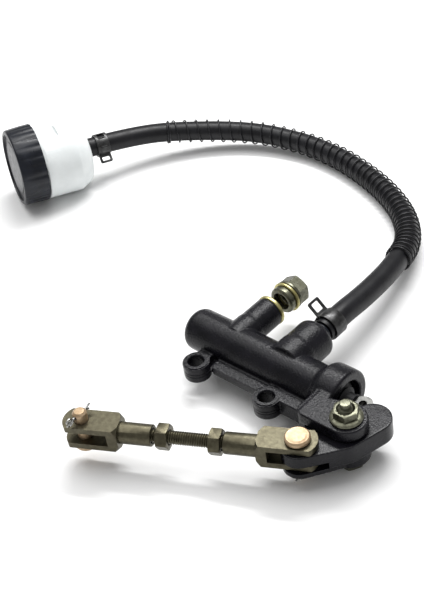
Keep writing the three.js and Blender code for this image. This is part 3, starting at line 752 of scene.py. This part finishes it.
def pivot_bolt():
    under = -10.9
    flange = turned("z", [(under - 1.4, 0), (under - 1.4, 6.4, 0.3), (under, 6.9, 0.2), (under, 0)], PIVOT)
    head = hexagon("z", 10, under - 4.3, under - 1, 0.7, PIVOT)
    shank = turned("z", [(under - 0.5, 0), (under - 0.5, 2.95), (9, 2.95), (9, 0)], PIVOT, 48)
    stud = threaded_rod("z", 2.9, 8.9, 15.4, 1.0, PIVOT)
    point = turned("z", [(14, 0), (14, 2.3), (17.6, 2.3, 0.4), (17.6, 0)], PIVOT, 48)
    return unite(bevelled(unite(flange, head), 0.15, 2), shank, stud, point)


put(pivot_nut(), "flange_nut", "cylinder", "green_zinc", BOLT_ZINC, "pivot_nut")
put(pivot_bolt(), "flange_bolt", "cylinder", "black_steel", BOLT_ZINC, "pivot_bolt")

# ------------------------------------------------------------ linkage, drawn along +X from the crank's pin

LINK = Matrix.Translation(LINK_PIN) @ Matrix.Rotation(LINK_ANGLE, 4, "Z")
FAR = LINK @ Matrix.Translation((PIN_SPACING, 0, 0)) @ Matrix.Rotation(math.pi, 4, "Z")
CLEVIS_HALF = 5.75


def clevis():
    side = CLEVIS_HALF
    bar = brick(-8, 16.5, -side, side, -side, side)
    turning = turned("x", [(-9, 0), (-9, 9), (14.7, 8.2), (16.5, 6.3), (16.5, 0)], segments=96)
    boolean(bar, "INTERSECT", turning)
    nose = prism([*arc(0, 0, 8, 90, 270, 36), Vector((17, -8)), Vector((17, 8))], -side - 1, side + 1)
    boolean(bar, "INTERSECT", nose)
    neck = turned("x", [(15, 0), (15, 4.6), (30.4, 4.6, 0.6), (30.4, 0)])
    unite(bar, neck)
    cut(
        bar,
        brick(-9, 12, -side - 1, side + 1, -3, 3),
        turned("z", [(-7, 0), (-7, 3.3), (7, 3.3), (7, 0)], segments=48),
        turned("x", [(11, 0), (11, 3.2), (30, 3.2), (31, 4.2), (31, 0)], segments=48),
    )
    return bevelled(bar, 0.35, 3)


def lock_nut(start):
    nut = hexagon("x", 10, start, start + 5, 0.9)
    hole = [(start - 1.7, 0), (start - 1.7, 4.8), (start + 0.5, 3.1), (start + 4.5, 3.1),
            (start + 6.7, 4.8),
            (start + 6.7, 0)]
    return bevelled(cut(nut, turned("x", hole, segments=48)), 0.15, 2)


put(clevis(), "crank_clevis", "linkage", "green_zinc", GREEN_ZINC, "clevis_crank_end", local=LINK)
put(clevis(), "pedal_clevis", "linkage", "green_zinc", GREEN_ZINC, "clevis_pedal_end", local=FAR)
put(lock_nut(31.3), "crank_lock_nut", "linkage", "green_zinc", GREEN_ZINC, "lock_nut_crank_end", local=LINK)
put(lock_nut(32.6), "pedal_lock_nut", "linkage", "green_zinc", GREEN_ZINC, "lock_nut_pedal_end", local=FAR)
put(threaded_rod("x", 2.9, 21, PIN_SPACING - 21, 1.0), "threaded_link", "linkage", "green_zinc", GREEN_ZINC,
    "linkage_rod", local=LINK, sharp=60)


def headed_pin(length, cross_hole):
    """A clevis pin standing on its head at z = 0; the head's face is slightly dished."""
    pin = turned("z", [(-2.0, 0), (-2.0, 3.2, 1), (-2.2, 4.6, 0.3), (-1.6, 5.3, 0.5), (0, 5.3, 0.4),
                       (0, 3.0),
                       (length - 0.9, 3.0, 0.2), (length, 2.1, 0.2), (length, 0)], segments=64)
    return cut(pin, turned("y", [(-5, 0), (-5, 1), (5, 1), (5, 0)], (0, 0, cross_hole), 24))


def cotter():
    """A split pin: an open loop, a shank through the pin, and two legs bent apart."""
    bends = [math.radians(-150 + 300 * k / 24) for k in range(25)]
    loop = [Vector((0, -6 + 1.7 * math.cos(a), 1.7 * math.sin(a))) for a in bends]
    first = [Vector((0, -3.4, 0.28)), Vector((0, 3.2, 0.28)), Vector((0, 4.6, 0.6)), Vector((0, 6.2, 1.2))]
    second = [Vector((0, -3.4, -0.28)), Vector((0, 3.2, -0.28)), Vector((0, 4.2, -0.5)), Vector((0, 5.2, -0.9))]
    path = smooth_line([*reversed(first), *loop, *second], 3)
    return sweep(path, 0.4, 8)


FACE = CLEVIS_HALF + 0.3
crank_pin = LINK @ Matrix.Translation((0, 0, FACE)) @ Matrix.Rotation(math.pi, 4, "X")
put(headed_pin(19.2, 17.5), "crank_pin", "crank", "pale_zinc", PALE_ZINC, "clevis_pin_crank_end",
    local=crank_pin)
pedal_pin = FAR @ Matrix.Translation((0, 0, -FACE)) @ Matrix.Rotation(math.radians(-25), 4, "Z")
put(headed_pin(16.6, 14.7), "pedal_pin", "pedal_pin", "pale_zinc", PALE_ZINC, "clevis_pin_pedal_end",
    local=pedal_pin)
crank_cotter = LINK @ Matrix.Translation((0, 0, FACE - 17.5)) @ Matrix.Rotation(math.pi / 2, 4, "Y")
put(cotter(), "crank_split_pin", "crank", "bright_steel", BRIGHT, "cotter_pin_crank_end", local=crank_cotter)
pedal_cotter = pedal_pin @ Matrix.Translation((0, 0, 14.7))
put(cotter(), "pedal_split_pin", "pedal_pin", "bright_steel", BRIGHT, "cotter_pin_pedal_end",
    local=pedal_cotter)

# ---------------------------------------------------------------- ports


def crush_washer(start, end, name, node):
    washer = turned("y", [(start, 5.3, 0.3), (start, 7.3, 0.6), (end, 7.3, 0.6), (end, 5.3, 0.3),
                          (start, 5.3, 0.3)],
                    OUTLET_AT)
    put(washer, name, "cylinder", "gold_washer", WASHER, node)


def banjo_bolt():
    shank = turned("y", [(29.5, 0), (29.5, 4.2, 0.3), (30.2, 4.8), (43, 4.8), (43.6, 4.2),
                         (54.6, 4.2), (54.6, 0)],
                   OUTLET_AT)
    flange = turned("y", [(53.6, 0), (53.6, 7.1, 0.3), (54.9, 7.1, 0.4), (55.6, 6.2), (55.6, 0)], OUTLET_AT)
    head = hexagon("y", 12, 54.2, 60.8, 0.9, OUTLET_AT)
    bolt = unite(shank, bevelled(unite(flange, head), 0.2, 2))
    dish = turned("y", [(60.2, 0), (60.2, 3.4), (61.2, 4.4), (61.2, 0)], OUTLET_AT)
    cross = turned("z", [(-6, 0), (-6, 1.6), (6, 1.6), (6, 0)], (OUTLET_X, 46, PORT_Z), 32)
    passage = turned("y", [(29, 0), (29, 1.6), (47.5, 1.6), (47.5, 0)], OUTLET_AT, 32)
    return cut(bolt, dish, cross, passage)


put(banjo_bolt(), "banjo", "cylinder", "green_zinc", BOLT_ZINC, "banjo_bolt")
crush_washer(40.5, 42.4, "washer_at_port", "crush_washer_inner")
crush_washer(51.8, 53.3, "washer_at_head", "crush_washer_outer")
collar = turned("y", [(48.6, 4.3, 0.1), (48.6, 5.8, 0.3), (49.3, 6.4, 0.4), (51.5, 6.4, 0.3),
                      (51.5, 4.3, 0.1),
                      (48.6, 4.3, 0.1)], OUTLET_AT)
put(collar, "bolt_collar", "cylinder", "green_zinc", BOLT_ZINC, "banjo_collar")
nipple = turned("y", [(33.2, 1.5), (33.2, 4.9), (39.4, 4.9), (40.2, 4.7, 0.3), (42.4, 4.7, 0.6),
                      (42.6, 2.6), (54, 2.6),
                      (54.4, 2.85), (56.4, 2.2), (56.4, 1.5), (33.2, 1.5)], INLET_AT)
put(nipple, "hose_nipple", "cylinder", "black_plastic", CAP_PLASTIC, "inlet_nipple")

# ------------------------------------------------------------ reservoir, drawn along +Y from the cap's face


def reservoir_cap():
    """A screw cap with broad flutes and a stepped, ringed face."""
    r, length, flutes = 21, 14, 24
    outer = []
    for k in range(flutes * 8):
        a = 2 * math.pi * k / (flutes * 8)
        wave = 0.5 - 0.5 * math.cos(a * flutes)
        outer.append((math.cos(a) * (r - 0.4 * wave**2), math.sin(a) * (r - 0.4 * wave**2)))
    body = prism(outer, 0, length)
    body.data.transform(Matrix.Rotation(-math.pi / 2, 4, "X"))
    edge = turned("y", [(0, 0), (0, r - 0.4, 1.1), (length, r + 0.2, 0.3), (length, 0)], segments=144)
    boolean(body, "INTERSECT", edge)
    cut(
        body,
        turned("y", [(-1, 0), (-1, 18.6), (1.2, 18.0, 0.4), (1.2, 14.4, 0.3), (0.7, 13.9, 0.2),
                     (0.7, 0)], segments=96),
        turned("y", [(2.9, 0), (2.9, 18.9), (length + 1, 18.9), (length + 1, 0)], segments=96),
    )
    return body


def reservoir_bottle():
    """A thin-walled bottle: round body below the neck's axis, notched on top for its bracket."""
    r, drop, end, wall = 19, 2, RESERVOIR_END, 1.6
    body = turned("y", [(14.6, 0), (14.6, r, 0.6), (33.5, r, 3), (end, r - 4.6, 6), (end, 0)],
                  (0, 0, -drop), 96)
    neck = turned("y", [(5.6, 0), (5.6, 18.1, 0.2), (16, 18.1), (16, 0)], segments=96)
    notch = prism(rounded([(20, 15, 1.2), (26, 15, 1.2), (27.5, 30), (18.5, 30)], 4), -30, 30)
    notch.data.transform(Matrix(((0, 0, 1, 0), (1, 0, 0, 0), (0, 1, 0, 0), (0, 0, 0, 1))))
    cut(unite(body, neck), notch)
    spigot = turned("y", [(end - 1, 0), (end - 1, 5, 0.5), (end + 0.5, 5, 0.5), (end + 0.5, 2.6),
                          (HOSE_END + 11, 2.6),
                          (HOSE_END + 11.5, 2.85), (HOSE_END + 13.5, 2.2),
                          (HOSE_END + 13.5, 0)], segments=48)
    unite(body, spigot)
    inside = turned("y", [(17, 0), (17, 15.4), (20, r - wall), (33, r - wall, 2), (end - wall, r - 6.4, 5),
                          (end - wall, 0)], (0, 0, -drop), 72)
    cut(inside, brick(-30, 30, 17.4, 28.6, 13.4, 30))
    bore = turned("y", [(5, 0), (5, 16.5), (19, 16.5), (19, 0)], segments=72)
    outlet = turned("y", [(end - 4, 0), (end - 4, 1.5), (HOSE_END + 15, 1.5),
                          (HOSE_END + 15, 0)], segments=24)
    return bevelled(cut(body, inside, bore, outlet), 0.5, 3)


put(reservoir_cap(), "screw_cap", "lid", "black_plastic", CAP_PLASTIC, "reservoir_cap", local=RESERVOIR)
put(reservoir_bottle(), "bottle", "cylinder", "white_plastic", MILKY, "reservoir_bottle", local=RESERVOIR)

# ---------------------------------------------------------------- CAD nodes that stay, with their finish

CARRIED = {
    "return_spring": BRIGHT, "primary_cup": BOOT_RUBBER, "piston": ALUMINIUM, "secondary_cup": BOOT_RUBBER,
    "stop_washer": BRIGHT, "circlip": BRIGHT, "pushrod": ROD_STEEL, "dust_boot": BOOT_RUBBER,
    "pivot_bush": WASHER, "pin_washer": GREEN_ZINC, "nipple_seal": BOOT_RUBBER, "diaphragm": BOOT_RUBBER,
    "diaphragm_plate": MILKY,
}
for name, material in CARRIED.items():
    node = frame["nodes"][name]
    for place in node.material_slots:
        place.material = material

# ---------------------------------------------------------------- floor and light


def area_light(name, place, target, size, watts):
    lamp = bpy.data.lights.new(name, "AREA")
    lamp.shape = "RECTANGLE"
    lamp.size, lamp.size_y = size
    lamp.energy = watts
    obj = bpy.data.objects.new(name, lamp)
    obj.location = place
    obj.rotation_euler = (Vector(target) - Vector(place)).to_track_quat("-Z", "Y").to_euler()
    bpy.context.scene.collection.objects.link(obj)


def studio():
    floor = brick(-3, 3, -3, 3, -0.02, 0)
    floor.name = "floor"
    floor.location.z = FLOOR - 0.0002
    nodes = Nodes("floor_paper")
    cloud = nodes.ranged(nodes.noise(300, 2), 0.4, 0.6, 0, 1)
    nodes.set("Base Color", nodes.blend(cloud, (0.9, 0.9, 0.9), (0.92, 0.92, 0.92)))
    nodes.set("Roughness", 0.9)
    floor.data.materials.append(nodes.material)
    world = bpy.data.worlds.new("studio")
    world.use_nodes = True
    background = world.node_tree.nodes["Background"]
    background.inputs["Color"].default_value = (1, 1, 1, 1)
    background.inputs["Strength"].default_value = 0.42
    bpy.context.scene.world = world
    bpy.context.scene.view_settings.view_transform = "Standard"
    area_light("key", (-0.15, 0.2, 0.95), (0, 0.03, 0), (1.3, 0.9), 9.5)
    area_light("strip", (-0.1, 0.34, 0.6), (0.03, 0, 0), (0.5, 0.05), 3.2)


studio()
